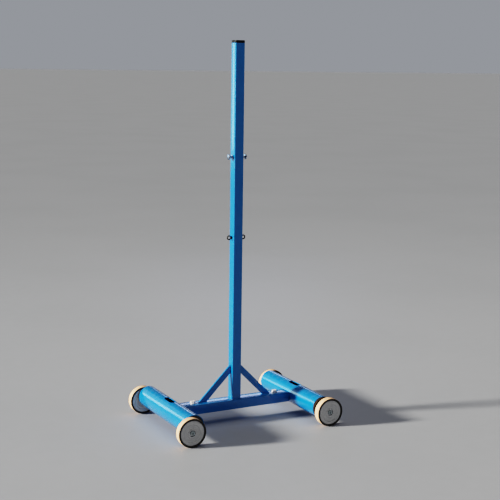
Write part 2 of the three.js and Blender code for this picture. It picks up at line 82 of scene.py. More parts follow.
def make_camera():
    """Camera at the photograph's place, looking along a heading clockwise from +Y and tilted down"""
    heading = math.radians(CAMERA_HEADING_DEG)
    down = math.radians(CAMERA_DOWN_DEG)
    roll = math.radians(CAMERA_ROLL_DEG)
    level = Vector((math.sin(heading), math.cos(heading), 0))
    forward = level * math.cos(down) - Vector((0, 0, math.sin(down)))
    right = Vector((math.cos(heading), -math.sin(heading), 0))
    up = right.cross(forward)
    rolled_right = right * math.cos(roll) + up * math.sin(roll)
    rolled_up = up * math.cos(roll) - right * math.sin(roll)
    data = bpy.data.cameras.new("camera")
    data.sensor_width = SENSOR_WIDTH_MM
    data.lens = FOCAL_LENGTH_PX / IMAGE_SIDE_PX * SENSOR_WIDTH_MM
    camera = bpy.data.objects.new("camera", data)
    turn = Matrix((rolled_right, rolled_up, -forward)).transposed().to_4x4()
    camera.matrix_world = Matrix.Translation(CAMERA_PLACE) @ turn
    bpy.context.scene.collection.objects.link(camera)
    bpy.context.scene.camera = camera


make_camera()


# Node building


class Tree:
    """A node tree with short calls for adding and joining nodes"""

    def __init__(self, tree):
        self.tree = tree

    def add(self, kind, label=None, **settings):
        node = self.tree.nodes.new(kind)
        if label:
            node.label = label
        for key, value in settings.items():
            setattr(node, key, value)
        return node

    def join(self, source, target):
        self.tree.links.new(source, target)

    def feed(self, node, socket, value):
        """Joins an output to a named or numbered input, or sets that input's value"""
        target = node.inputs[socket]
        if isinstance(value, bpy.types.NodeSocket):
            self.join(value, target)
        else:
            target.default_value = value

    def fed(self, kind, values, **settings):
        """Outputs of a new node whose inputs, named or numbered, are fed"""
        node = self.add(kind, **settings)
        for socket, value in values.items():
            self.feed(node, socket, value)
        return node.outputs

    def parts(self, vector):
        return self.fed("ShaderNodeSeparateXYZ", {0: vector})

    def math(self, operation, first, second=0.0, clamp=False):
        return self.fed("ShaderNodeMath", {0: first, 1: second}, operation=operation, use_clamp=clamp)[0]

    def times(self, first, second, clamp=False):
        return self.math("MULTIPLY", first, second, clamp)

    def plus(self, first, second, clamp=False):
        return self.math("ADD", first, second, clamp)

    def mapped(self, value, from_low, from_high, to_low=0.0, to_high=1.0):
        """A value carried smoothly from one range to another, and held at its ends"""
        values = {
            "Value": value, "From Min": from_low, "From Max": from_high, "To Min": to_low, "To Max": to_high,
        }
        return self.fed("ShaderNodeMapRange", values, interpolation_type="SMOOTHSTEP")["Result"]

    def mixed(self, factor, first, second):
        return self.fed("ShaderNodeMix", {"Factor": factor, 6: first, 7: second}, data_type="RGBA")[2]

    def noise(self, coordinates, scale, detail=3.0, roughness=0.5):
        values = {"Vector": coordinates, "Scale": scale, "Detail": detail, "Roughness": roughness}
        return self.fed("ShaderNodeTexNoise", values)["Fac"]


def new_group(name, inputs, output):
    """Shader node group of a Vector, more inputs and an output: colours where named so, else numbers"""
    group = bpy.data.node_groups.new(name, "ShaderNodeTree")
    group.interface.new_socket("Vector", in_out="INPUT", socket_type="NodeSocketVector")
    for title, way in [(title, "INPUT") for title in inputs] + [(output, "OUTPUT")]:
        kind = "NodeSocketColor" if "Colour" in title else "NodeSocketFloat"
        group.interface.new_socket(title, in_out=way, socket_type=kind)
    tree = Tree(group)
    return tree, tree.add("NodeGroupInput").outputs, tree.add("NodeGroupOutput").inputs


def make_mottle():
    """Slow drift of a colour over a surface, with finer patches in it"""
    tree, given, made = new_group(
        "Colour Mottle", ("Colour", "Patch Colour", "Patch Scale", "Fine Scale", "Amount"), "Colour",
    )
    patches = tree.noise(given["Vector"], given["Patch Scale"])
    fine = tree.noise(given["Vector"], given["Fine Scale"], detail=5.0, roughness=0.62)
    both = tree.plus(tree.times(patches, 0.65), tree.times(fine, 0.35))
    mask = tree.times(tree.mapped(both, 0.4, 0.64), given["Amount"])
    tree.join(tree.mixed(mask, given["Colour"], given["Patch Colour"]), made["Colour"])
    return tree.tree


def make_dust():
    """Dust that settles on faces that look up, grime low above the floor, and an even film of both"""
    tree, given, made = new_group(
        "Settled Dust", ("Upward Amount", "Low Amount", "Low Height", "Even Amount", "Grain Scale"), "Mask",
    )
    geometry = tree.add("ShaderNodeNewGeometry")
    facing = tree.parts(geometry.outputs["Normal"])["Z"]
    upward = tree.times(tree.mapped(facing, 0.45, 1.0), given["Upward Amount"])
    near_floor = tree.mapped(tree.parts(geometry.outputs["Position"])["Z"], given["Low Height"], 0.0)
    low = tree.times(near_floor, given["Low Amount"])
    grain = tree.noise(given["Vector"], given["Grain Scale"], detail=6.0, roughness=0.7)
    patches = tree.mapped(grain, 0.36, 0.7)
    settled = tree.math("MAXIMUM", tree.math("MAXIMUM", upward, low), given["Even Amount"])
    tree.join(tree.times(settled, patches, clamp=True), made["Mask"])
    return tree.tree


def make_edge_wear():
    """Rubbed edges: where a rounded-over normal leaves the true one, broken up by noise"""
    tree, given, made = new_group("Rubbed Edges", ("Reach", "Break Scale", "Amount"), "Mask")
    rounded = tree.fed("ShaderNodeBevel", {"Radius": given["Reach"]}, samples=4)[0]
    normal = tree.add("ShaderNodeNewGeometry").outputs["Normal"]
    angle = tree.fed("ShaderNodeVectorMath", {0: rounded, 1: normal}, operation="DOT_PRODUCT")["Value"]
    edge = tree.mapped(angle, 0.985, 0.88)
    patches = tree.noise(given["Vector"], given["Break Scale"], detail=5.0, roughness=0.7)
    broken = tree.mapped(patches, 0.46, 0.62)
    worn = tree.times(tree.times(edge, broken), given["Amount"], clamp=True)
    tree.join(worn, made["Mask"])
    return tree.tree


def make_scratches():
    """Fine straight scratches in two directions, as a mask"""
    tree, given, made = new_group("Fine Scratches", ("Scale", "Amount"), "Mask")
    masks = []
    for turn, stretch in ((0.6, 22.0), (-0.9, 30.0)):
        values = {
            "Vector": given["Vector"], "Rotation": (turn, turn, turn), "Scale": (1.0, stretch, stretch),
        }
        lines = tree.noise(tree.fed("ShaderNodeMapping", values)[0], given["Scale"], detail=2.0)
        masks.append(tree.mapped(lines, 0.69, 0.75))
    both = tree.math("MAXIMUM", masks[0], masks[1])
    tree.join(tree.times(both, given["Amount"], clamp=True), made["Mask"])
    return tree.tree


def make_grain():
    """Small-scale relief: a fine grain on a softer wave, as a height in metres"""
    tree, given, made = new_group(
        "Surface Grain", ("Wave Scale", "Wave Height", "Grain Scale", "Grain Height"), "Height",
    )
    wave = tree.noise(given["Vector"], given["Wave Scale"], detail=2.0)
    grain = tree.noise(given["Vector"], given["Grain Scale"], detail=4.0, roughness=0.65)
    soft, fine = tree.times(wave, given["Wave Height"]), tree.times(grain, given["Grain Height"])
    tree.join(tree.plus(soft, fine), made["Height"])
    return tree.tree


MOTTLE = make_mottle()
DUST = make_dust()
EDGE_WEAR = make_edge_wear()
SCRATCHES = make_scratches()
GRAIN = make_grain()


class Finish:
    """A material with one Principled shader, and calls that lay effects into it"""

    def __init__(self, name, **sockets):
        self.material = bpy.data.materials.new(name)
        self.material.use_nodes = True
        self.nodes = Tree(self.material.node_tree)
        self.material.node_tree.nodes.clear()
        self.shader = self.nodes.add("ShaderNodeBsdfPrincipled")
        output = self.nodes.add("ShaderNodeOutputMaterial")
        self.nodes.join(self.shader.outputs[0], output.inputs[0])
        self.place = self.nodes.add("ShaderNodeTexCoord").outputs["Object"]
        for socket, value in sockets.items():
            self.shader.inputs[socket.replace("_", " ")].default_value = value

    def group(self, group, label, **values):
        node = self.nodes.add("ShaderNodeGroup", label=label, node_tree=group)
        self.nodes.join(self.place, node.inputs["Vector"])
        for socket, value in values.items():
            self.nodes.feed(node, socket.replace("_", " "), value)
        return node.outputs[0]

    def set(self, socket, value):
        self.nodes.feed(self.shader, socket, value)

    def roughen(self, base, *masks):
        """A base roughness, raised by masks that each come with their share"""
        rough = base
        for mask, share in masks:
            rough = self.nodes.plus(self.nodes.times(mask, share), rough, clamp=True)
        self.set("Roughness", rough)

    def dulled(self, colour, dust, share):
        """A colour under dust of which a share shows"""
        return self.nodes.mixed(self.nodes.times(dust, share), colour, DUST_COLOUR)

    def bump(self, height, strength):
        """A height in metres as relief"""
        values = {"Strength": strength, "Distance": 1.0, "Height": height}
        self.set("Normal", self.nodes.fed("ShaderNodeBump", values)[0])

    def relief(self, label, strength, wave, grain):
        """Relief of a wave with a finer grain on it, each as (scale, height)"""
        (wave_scale, wave_height), (grain_scale, grain_height) = wave, grain
        height = self.group(
            GRAIN, label, Wave_Scale=wave_scale, Wave_Height=wave_height,
            Grain_Scale=grain_scale, Grain_Height=grain_height,
        )
        self.bump(height, strength)


# Finishes

DUST_COLOUR = (0.36, 0.34, 0.31, 1)


def enamel(name, colour, patch_colour, scratch_colour, edge_colour):
    """Gloss stove enamel over steel, with orange peel, dust on top and rubbed edges"""
    finish = Finish(name, Coat_Roughness=0.07, Coat_IOR=1.5, IOR=1.5)
    nodes = finish.nodes
    paint = finish.group(
        MOTTLE, "paint drift", Colour=colour, Patch_Colour=patch_colour,
        Patch_Scale=4.0, Fine_Scale=55.0, Amount=0.6,
    )
    dust = finish.group(DUST, "dust", Upward_Amount=0.3, Low_Amount=0.14, Low_Height=0.12, Grain_Scale=45.0)
    edges = finish.group(EDGE_WEAR, "rubbed edges", Reach=1.1 * MM, Break_Scale=90.0, Amount=0.4)
    scratches = finish.group(SCRATCHES, "scratches", Scale=22.0, Amount=0.14)
    scuffed = nodes.mixed(scratches, finish.dulled(paint, dust, 0.4), scratch_colour)
    finish.set("Base Color", nodes.mixed(edges, scuffed, edge_colour))
    finish.roughen(0.24, (dust, 0.25), (edges, 0.3))
    finish.set("Coat Weight", nodes.mapped(dust, 0.0, 0.5, 0.85, 0.6))
    finish.relief("orange peel", 0.6, wave=(260.0, 0.04 * MM), grain=(1400.0, 0.006 * MM))
    return finish.material


def zinc_steel(name, colour, patch_colour):
    """Zinc plating, dulled in patches and scratched by spanners"""
    finish = Finish(name, Metallic=0.4)
    plate = finish.group(
        MOTTLE, "plating", Colour=colour, Patch_Colour=patch_colour,
        Patch_Scale=120.0, Fine_Scale=700.0, Amount=0.7,
    )
    dust = finish.group(DUST, "dust", Upward_Amount=0.35, Low_Amount=0.35, Low_Height=0.12, Grain_Scale=120.0)
    scratches = finish.group(SCRATCHES, "scratches", Scale=160.0, Amount=0.5)
    dusty = finish.dulled(plate, dust, 0.5)
    finish.set("Base Color", finish.nodes.mixed(scratches, dusty, patch_colour))
    finish.roughen(0.42, (dust, 0.3), (scratches, 0.2))
    finish.relief("plating grain", 0.5, wave=(700.0, 0.01 * MM), grain=(2600.0, 0.008 * MM))
    return finish.material


TURNING_MARK_HEIGHT = 0.008 * MM


def turned_steel():
    """Polished knobs with fine turning marks round their axis"""
    finish = Finish("turned_steel", Metallic=1.0)
    nodes = finish.nodes
    steel = finish.group(
        MOTTLE, "polish", Colour=(0.42, 0.46, 0.53, 1), Patch_Colour=(0.33, 0.37, 0.45, 1),
        Patch_Scale=160.0, Fine_Scale=900.0, Amount=0.6,
    )
    scratches = finish.group(SCRATCHES, "rub marks", Scale=200.0, Amount=0.5)
    finish.set("Base Color", nodes.mixed(scratches, steel, (0.7, 0.71, 0.73, 1)))
    finish.roughen(0.18, (scratches, 0.22))
    values = {"Vector": finish.place, "Scale": 900.0, "Distortion": 1.2}
    marks = nodes.fed("ShaderNodeTexWave", values, wave_type="BANDS", bands_direction="X")["Fac"]
    finish.bump(nodes.times(marks, TURNING_MARK_HEIGHT), 0.6)
    return finish.material


def moulded_plastic(name, colour, patch_share, roughness, even_dust, upward_dust=0.0):
    """Moulded plastic with a fine spark-eroded grain, scuffs and dust"""
    patch_colour = tuple(channel * patch_share for channel in colour[:3]) + (1,)
    finish = Finish(name, IOR=1.46)
    resin = finish.group(
        MOTTLE, "resin", Colour=colour, Patch_Colour=patch_colour,
        Patch_Scale=30.0, Fine_Scale=420.0, Amount=0.55,
    )
    dust = finish.group(DUST, "dust", Upward_Amount=upward_dust, Even_Amount=even_dust, Grain_Scale=90.0)
    scratches = finish.group(SCRATCHES, "scuffs", Scale=60.0, Amount=0.25)
    pale = tuple(min(1.0, channel * 1.6 + 0.03) for channel in colour[:3]) + (1,)
    finish.set("Base Color", finish.dulled(finish.nodes.mixed(scratches, resin, pale), dust, 0.6))
    finish.roughen(roughness, (dust, 0.3))
    finish.relief("mould grain", 0.7, wave=(300.0, 0.03 * MM), grain=(1800.0, 0.02 * MM))
    return finish.material


def black_rubber():
    """Dull black rubber, greyed by dust"""
    finish = Finish("black_rubber", IOR=1.5)
    rubber = finish.group(
        MOTTLE, "bloom", Colour=(0.035, 0.034, 0.034, 1), Patch_Colour=(0.06, 0.058, 0.055, 1),
        Patch_Scale=40.0, Fine_Scale=380.0, Amount=0.6,
    )
    dust = finish.group(DUST, "dust", Even_Amount=0.35, Grain_Scale=140.0)
    finish.set("Base Color", finish.dulled(rubber, dust, 0.5))
    finish.roughen(0.58, (dust, 0.25))
    finish.relief("rubber grain", 0.8, wave=(420.0, 0.03 * MM), grain=(2200.0, 0.02 * MM))
    return finish.material


def cream_rubber(half_width):
    """Non-marking tread: cream rubber, darkened and scuffed where it rolls on the floor"""
    finish = Finish("cream_rubber", IOR=1.5)
    nodes = finish.nodes
    rubber = finish.group(
        MOTTLE, "rubber", Colour=(0.91, 0.6, 0.39, 1), Patch_Colour=(0.8, 0.53, 0.34, 1),
        Patch_Scale=24.0, Fine_Scale=260.0, Amount=0.55,
    )
    off_middle = nodes.math("ABSOLUTE", nodes.parts(finish.place)["Y"])
    rolling = nodes.mapped(off_middle, half_width * 0.92, half_width * 0.55)
    smudges = nodes.mapped(nodes.noise(finish.place, 46.0, detail=6.0, roughness=0.68), 0.48, 0.72)
    dirt = nodes.times(nodes.times(rolling, smudges), 0.55)
    scratches = finish.group(SCRATCHES, "scuffs", Scale=40.0, Amount=0.4)
    dirty = nodes.mixed(dirt, rubber, (0.3, 0.25, 0.2, 1))
    scuffs = nodes.times(scratches, rolling)
    finish.set("Base Color", nodes.mixed(scuffs, dirty, (0.16, 0.14, 0.12, 1)))
    finish.set("Roughness", nodes.mapped(rolling, 0.0, 1.0, 0.52, 0.66))
    finish.relief("rubber grain", 0.8, wave=(300.0, 0.04 * MM), grain=(1800.0, 0.02 * MM))
    return finish.material


PORE_HEIGHT = 0.6 * MM
STONE_HEIGHT = 0.4 * MM


def cast_ballast():
    """Rough cast filling with stones and pores in grey mortar"""
    finish = Finish("cast_ballast")
    nodes = finish.nodes
    mortar = finish.group(
        MOTTLE, "mortar", Colour=(0.17, 0.16, 0.145, 1), Patch_Colour=(0.09, 0.085, 0.078, 1),
        Patch_Scale=60.0, Fine_Scale=500.0, Amount=0.9,
    )
    stones = nodes.fed("ShaderNodeTexVoronoi", {"Vector": finish.place, "Scale": 170.0}, feature="F1")
    stone = nodes.mapped(stones["Distance"], 0.34, 0.22)
    finish.set("Base Color", nodes.mixed(nodes.times(stone, 0.5), mortar, (0.27, 0.25, 0.22, 1)))
    finish.set("Roughness", nodes.mapped(stone, 0.0, 1.0, 0.95, 0.7))
    pores = nodes.times(nodes.noise(finish.place, 900.0, detail=6.0, roughness=0.7), PORE_HEIGHT)
    finish.bump(nodes.plus(pores, nodes.times(stone, STONE_HEIGHT)), 0.9)
    return finish.material


wheel_low, wheel_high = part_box("left_front_wheel_tread")
wheel_half_width = (wheel_high.y - wheel_low.y) / 2

FINISH_OF_SLOT = {
    "blue_paint": enamel(
        "blue_paint", colour=(0.004, 0.21, 0.57, 1), patch_colour=(0.003, 0.18, 0.51, 1),
        scratch_colour=(0.05, 0.22, 0.5, 1), edge_colour=(0.11, 0.2, 0.33, 1),
    ),
    "black_paint": enamel(
        "black_paint", colour=(0.004, 0.005, 0.007, 1), patch_colour=(0.008, 0.01, 0.013, 1),
        scratch_colour=(0.03, 0.03, 0.032, 1), edge_colour=(0.06, 0.06, 0.062, 1),
    ),
    "zinc_steel": zinc_steel(
        "zinc_steel", colour=(1.0, 0.98, 1.0, 1), patch_colour=(0.92, 0.91, 0.94, 1),
    ),
    "black_plastic": moulded_plastic(
        "black_plastic", (0.008, 0.008, 0.009, 1), patch_share=2.0, roughness=0.38,
        upward_dust=0.3, even_dust=0.05,
    ),
    "grey_nylon": moulded_plastic(
        "grey_nylon", (0.67, 0.67, 0.67, 1), patch_share=0.86, roughness=0.42, even_dust=0.25,
    ),
    "white_nylon": moulded_plastic(
        "white_nylon", (0.7, 0.69, 0.64, 1), patch_share=0.83, roughness=0.45, even_dust=0.3,
    ),
    "black_rubber": black_rubber(),
    "cream_rubber": cream_rubber(wheel_half_width),
    "cast_ballast": cast_ballast(),
}
# Axle bolts: zinc darkened as painted shade of the recess in the wheel hub, not a duller plating
RECESS_SHADE_ZINC = zinc_steel("zinc_darkened_as_recess_shade", colour=(0.48, 0.53, 0.54, 1), patch_colour=(0.36, 0.41, 0.42, 1))
TURNED_STEEL = turned_steel()

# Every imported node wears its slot's finish, also those that finer pieces stand for below
slot_of_node = {row["node"]: row["material_slot"] for row in frame["record"]["subparts"]}
for node_name, node in frame["nodes"].items():
    node.data.materials.clear()
    node.data.materials.append(FINISH_OF_SLOT[slot_of_node[node_name]])


# Mesh building

CREASE_DEG = 32
ARC_STEPS = 4
CORNER_STEPS = 6
SAME_PLACE = 0.002 * MM
# The most of a side that the rounding of one corner takes up
ROUNDED_SHARE = 0.45
CUT_BEVEL_STEPS = 2
CUT_BEVEL_FROM_DEG = 40


def skinned(rings, closed=False):
    """Points and faces of a skin through rings of equally many points, capped unless it closes"""
    count = len(rings[0])
    points = [point for ring in rings for point in ring]
    faces = []
    for i in range(len(rings) if closed else len(rings) - 1):
        here = i * count
        there = (i + 1) % len(rings) * count
        for j in range(count):
            k = (j + 1) % count
            faces.append((here + j, here + k, there + k, there + j))
    if not closed:
        faces.append(tuple(reversed(range(count))))
        faces.append(tuple(range(len(points) - count, len(points))))
    return points, faces


def joined(*skins):
    """Several skins as one"""
    points, faces = [], []
    for more_points, more_faces in skins:
        start = len(points)
        points += more_points
        faces += [tuple(start + corner for corner in face) for face in more_faces]
    return points, faces


def shaded(mesh, crease):
    """Faces turned outwards and shaded smooth, with edges kept where they are sharp"""
    work = bmesh.new()
    work.from_mesh(mesh)
    bmesh.ops.remove_doubles(work, verts=work.verts, dist=SAME_PLACE)
    bmesh.ops.dissolve_degenerate(work, edges=work.edges, dist=SAME_PLACE)
    bmesh.ops.recalc_face_normals(work, faces=work.faces)
    work.to_mesh(mesh)
    work.free()
    mesh.shade_smooth()
    mesh.set_sharp_from_angle(angle=math.radians(crease))


def new_mesh(name, skin, crease):
    mesh = bpy.data.meshes.new(name)
    mesh.from_pydata([tuple(point) for point in skin[0]], [], skin[1])
    shaded(mesh, crease)
    return mesh


def piece(name, skin, slot, node=None, place=None, body="frame", finish=None, crease=CREASE_DEG):
    """A piece of the object from its skin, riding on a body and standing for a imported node"""
    mesh = new_mesh(name, skin, crease)
    mesh.materials.append(finish or FINISH_OF_SLOT[slot])
    made = bpy.data.objects.new(name, mesh)
    bpy.context.scene.collection.objects.link(made)
    if place is not None:
        made.matrix_world = place
    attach(made, body)
    if node:
        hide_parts(node)
    return made


def arc_between(before, corner, after, radius, steps):
    """Points that round one corner of an outline"""
    back, forth = before - corner, after - corner
    half_angle = back.angle(forth) / 2
    reach = min(radius / math.tan(half_angle), ROUNDED_SHARE * back.length, ROUNDED_SHARE * forth.length)
    start = corner + back.normalized() * reach
    end = corner + forth.normalized() * reach
    shares = [i / steps for i in range(steps + 1)]
    return [start * (1 - t) ** 2 + corner * 2 * t * (1 - t) + end * t ** 2 for t in shares]


def softened(outline, radius, steps=ARC_STEPS, closed=True):
    """An outline of 2D points with every corner rounded, ends left alone if it is open"""
    corners = [Vector(point) for point in outline]
    made = []
    for i, corner in enumerate(corners):
        if not closed and i in (0, len(corners) - 1):
            made.append(corner)
            continue
        before, after = corners[i - 1], corners[(i + 1) % len(corners)]
        made += arc_between(before, corner, after, radius, steps)
    return made


def round_points(radius, steps):
    """2D points of a circle about the middle"""
    turns = [FULL_TURN * i / steps for i in range(steps)]
    return [(radius * math.cos(turn), radius * math.sin(turn)) for turn in turns]


def circle(radius, height, steps, centre=(0.0, 0.0)):
    """Ring of points about Y at a height along it"""
    return [Vector((centre[0] + x, height, centre[1] + z)) for x, z in round_points(radius, steps)]


def turned(profile, steps, closed=True):
    """Skin of a solid of revolution about Y from (radius, height) points"""
    return skinned([circle(radius, height, steps) for radius, height in profile], closed)


def rounded_oblong(width, depth, corner, steps=CORNER_STEPS):
    """Points of an oblong with rounded corners, about the middle, counter-clockwise"""
    points = []
    for quarter, (sign_x, sign_y) in enumerate(((1, 1), (-1, 1), (-1, -1), (1, -1))):
        middle = Vector((sign_x * (width / 2 - corner), sign_y * (depth / 2 - corner)))
        for i in range(steps + 1):
            angle = math.pi / 2 * (quarter + i / steps)
            points.append(middle + corner * Vector((math.cos(angle), math.sin(angle))))
    return points


def rounded_square(side, corner):
    return rounded_oblong(side, side, corner)


def level_ring(outline, level):
    """Ring of points over an outline in the XY plane, at a height"""
    return [Vector((x, y, level)) for x, y in outline]


def ring_section(inner, outer, low, high):
    """Corners of a plain ring's section, as (radius, height) points"""
    return [(inner, low), (outer, low), (outer, high), (inner, high)]


def hexagon_radius(flats, turn):
    """Distance from the middle of a hexagon to its side, in the direction of a turn"""
    sector = math.pi / 3
    return flats / 2 / math.cos((turn + sector / 2) % sector - sector / 2)


def cut_from(made, tool_skin, edge, crease=CREASE_DEG):
    """Cuts a skin out of a piece, softens the new sharp edges and keeps the result as its mesh"""
    tool = bpy.data.objects.new("tool", new_mesh("tool", tool_skin, CREASE_DEG))
    bpy.context.scene.collection.objects.link(tool)
    tool.matrix_world = made.matrix_world.copy()
    boolean = made.modifiers.new("cut", "BOOLEAN")
    boolean.operation = "DIFFERENCE"
    boolean.solver = "EXACT"
    boolean.object = tool
    bevel = made.modifiers.new("edge", "BEVEL")
    bevel.width = edge
    bevel.segments = CUT_BEVEL_STEPS
    bevel.limit_method = "ANGLE"
    bevel.angle_limit = math.radians(CUT_BEVEL_FROM_DEG)
    bevel.use_clamp_overlap = True
    bpy.context.view_layer.update()
    depsgraph = bpy.context.evaluated_depsgraph_get()
    mesh = bpy.data.meshes.new_from_object(made.evaluated_get(depsgraph))
    made.modifiers.clear()
    made.data = mesh
    shaded(mesh, crease)
    bpy.data.objects.remove(tool)


# Upright and crossbar

TUBE_EDGE = 0.5 * MM
TUBE_CORNER = 3.5 * MM
TUBE_WALL = 2 * MM


def box_tube(width, depth, length):
    """Skin of an open box tube along Z from 0 to its length, with eased rims"""
    rings = []
    for inset, level in (
        (0, TUBE_EDGE), (0, length - TUBE_EDGE), (TUBE_EDGE / 2, length - TUBE_EDGE / 4),
        (TUBE_WALL, length), (TUBE_WALL, 0), (TUBE_EDGE / 2, TUBE_EDGE / 4),
    ):
        outline = rounded_oblong(width - 2 * inset, depth - 2 * inset, TUBE_CORNER - inset)
        rings.append(level_ring(outline, level))
    return skinned(rings, closed=True)


up_low, up_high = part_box("upright_tube")
bar_low, bar_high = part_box("crossbar_tube")
upright_side = up_high.x - up_low.x

piece(
    "upright", box_tube(upright_side, upright_side, up_high.z - up_low.z), "blue_paint", "upright_tube",
    Matrix.Translation((0, 0, up_low.z)),
)
bar_axis = Vector((bar_low.x, 0, (bar_low.z + bar_high.z) / 2))
piece(
    "crossbar", box_tube(bar_high.z - bar_low.z, bar_high.y - bar_low.y, bar_high.x - bar_low.x),
    "blue_paint", "crossbar_tube", Matrix.Translation(bar_axis) @ Matrix.Rotation(math.pi / 2, 4, "Y"),
)

# Braces of flat bar

BRACE_WIDTH = 25 * MM
BRACE_EDGE = 0.9 * MM


def flat_brace(low, high, side):
    """Skin of a sloping flat bar between the upright's face and the crossbar's top, and its two ends"""
    wall_x, foot_x = (low.x, high.x) if side > 0 else (high.x, low.x)
    slope = Vector((foot_x - wall_x, 0, low.z - high.z)).normalized()
    across = Vector((0, 1, 0))
    upward = Vector((side * abs(slope.z), 0, abs(slope.x)))
    # The upper edge runs from the top of the end on the upright to the far end of the foot
    middle = (Vector((wall_x, 0, high.z)) + Vector((foot_x, 0, low.z))) / 2 - upward * BRACE_WIDTH / 2
    ends = []
    for at_foot in (False, True):
        ring = []
        for u, v in rounded_oblong(high.y - low.y, BRACE_WIDTH, BRACE_EDGE, ARC_STEPS):
            start = middle + across * u + upward * v
            run = (low.z - start.z) / slope.z if at_foot else (wall_x - start.x) / slope.x
            ring.append(start + slope * run)
        ends.append(ring)
    return skinned(ends), ends


# Weld beads

BEAD_STEP = 1.1 * MM
BEAD_SIDES = 10
RIPPLE_PITCH = 2.4 * MM
RIPPLE_SHARE = 0.16
WANDER_SHARE = 0.08
WANDER_SCALE = 90


def even_points(path, step):
    """Points at even steps along a closed path"""
    ends = path[1:] + path[:1]
    lengths = [(end - start).length for start, end in zip(path, ends)]
    count = round(sum(lengths) / step)
    spacing = sum(lengths) / count
    points = []
    segment, passed = 0, 0.0
    for i in range(count):
        along = i * spacing
        while passed + lengths[segment] < along and segment < len(path) - 1:
            passed += lengths[segment]
            segment += 1
        points.append(path[segment].lerp(ends[segment], (along - passed) / lengths[segment]))
    return points


def bead(path, radius, normal):
    """Skin of a rippled fillet bead along a closed path that lies about square to a normal"""
    centres = even_points(path, BEAD_STEP)
    count = len(centres)
    ripples = round(count * BEAD_STEP / RIPPLE_PITCH)
    rings = []
    for i, centre in enumerate(centres):
        ahead = (centres[(i + 1) % count] - centres[i - 1]).normalized()
        outward = ahead.cross(normal).normalized()
        other = outward.cross(ahead)
        swell = abs(math.sin(math.pi * ripples * i / count))
        wander = 1 + WANDER_SHARE * noise.noise(centre * WANDER_SCALE)
        thick = radius * wander * (1 - RIPPLE_SHARE + RIPPLE_SHARE * swell)
        rings.append([centre + x * outward + y * other for x, y in round_points(thick, BEAD_SIDES)])
    return skinned(rings, closed=True)


FILLET_BEAD = 2.6 * MM
SEAM_BEAD = 1.9 * MM
SADDLE_BEAD = 1.5 * MM
BEAD_CREASE_DEG = 60


def weld(name, path, radius, normal):
    """A painted bead as a piece of its own"""
    piece(name, bead(path, radius, normal), "blue_paint", crease=BEAD_CREASE_DEG)


foot_path = level_ring(rounded_square(upright_side, TUBE_CORNER), up_low.z)
weld("weld_upright_foot", foot_path, FILLET_BEAD, UPWARD)

for side_name, side in SIDES.items():
    low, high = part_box("brace_" + side_name)
    skin, (top_end, foot_end) = flat_brace(low, high, side)
    piece("brace_" + side_name + "_flat", skin, "blue_paint", "brace_" + side_name)
    weld("weld_brace_" + side_name + "_top", top_end, SEAM_BEAD, SIDEWAYS)
    weld("weld_brace_" + side_name + "_foot", foot_end, SEAM_BEAD, UPWARD)


# Cap with a groove across it

CAP_ROUND = 1.6 * MM
CAP_GROOVE_WIDTH = 6 * MM
CAP_GROOVE_DEPTH = 7 * MM
CAP_MOULD_EDGE = 0.7 * MM
CAP_LIP = 0.5 * MM


def cap():
    """Push-in cap: a plug, a rounded lid with a lip, and a round-bottomed groove along X"""
    low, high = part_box("upright_cap")
    side = high.x - low.x
    seat = up_high.z
    plug_side = side - 2 * TUBE_WALL - CAP_LIP
    plug = rounded_square(plug_side, TUBE_CORNER - TUBE_WALL)
    rings = [
        level_ring(plug, low.z),
        level_ring(plug, seat),
        level_ring(rounded_square(side - CAP_LIP, TUBE_CORNER), seat),
        level_ring(rounded_square(side, TUBE_CORNER), seat + CAP_LIP),
    ]
    for i in range(ARC_STEPS + 1):
        angle = math.pi / 2 * i / ARC_STEPS
        inset = CAP_ROUND * (1 - math.cos(angle))
        z = high.z - CAP_ROUND * (1 - math.sin(angle))
        outline = rounded_square(side - 2 * inset, TUBE_CORNER - inset)
        rings.append(level_ring(outline, z))
    made = piece("cap", skinned(rings), "black_plastic", "upright_cap")
    half = CAP_GROOVE_WIDTH / 2
    floor_z = high.z - CAP_GROOVE_DEPTH
    section = [(-half, high.z + half), (half, high.z + half), (half, floor_z + half)]
    for i in range(1, 2 * ARC_STEPS):
        angle = math.pi * i / (2 * ARC_STEPS)
        section.append((half * math.cos(angle), floor_z + half - half * math.sin(angle)))
    section.append((-half, floor_z + half))
    tool = skinned([[Vector((x, y, z)) for y, z in section] for x in (-side, side)])
    cut_from(made, tool, CAP_MOULD_EDGE)


cap()


# Knobs and eyes

FITTING_STEPS = 48
AXIS_HOLE = 0.1 * MM
KNOB_FLANGE_THICKNESS = 3 * MM
KNOB_NECK_RADIUS = 5 * MM
KNOB_FLANGE_RADIUS = 9 * MM
KNOB_FLANGE_EDGE = 0.8 * MM
KNOB_HEAD_THICKNESS = 6 * MM
KNOB_HEAD_EDGE = 2 * MM
EYE_WIRE_RADIUS = 2.4 * MM
EYE_COLLAR_LENGTH = 4 * MM
EYE_COLLAR_RADIUS = 6 * MM
EYE_COLLAR_EDGE = 0.8 * MM
EYE_COLLAR_TOP_RADIUS = 1.3 * EYE_WIRE_RADIUS
EYE_RING_STEPS = 56
EYE_WIRE_STEPS = 16


def side_fitting(node, side):
    """Length, radius and place of a fitting whose own +Y stands out of the upright's face"""
    low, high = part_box(node)
    face = low.x if side > 0 else high.x
    turn = Matrix.Rotation(-side * math.pi / 2, 4, "Z")
    place = Matrix.Translation((face, 0, (low.z + high.z) / 2)) @ turn
    return high.x - low.x, (high.z - low.z) / 2, place


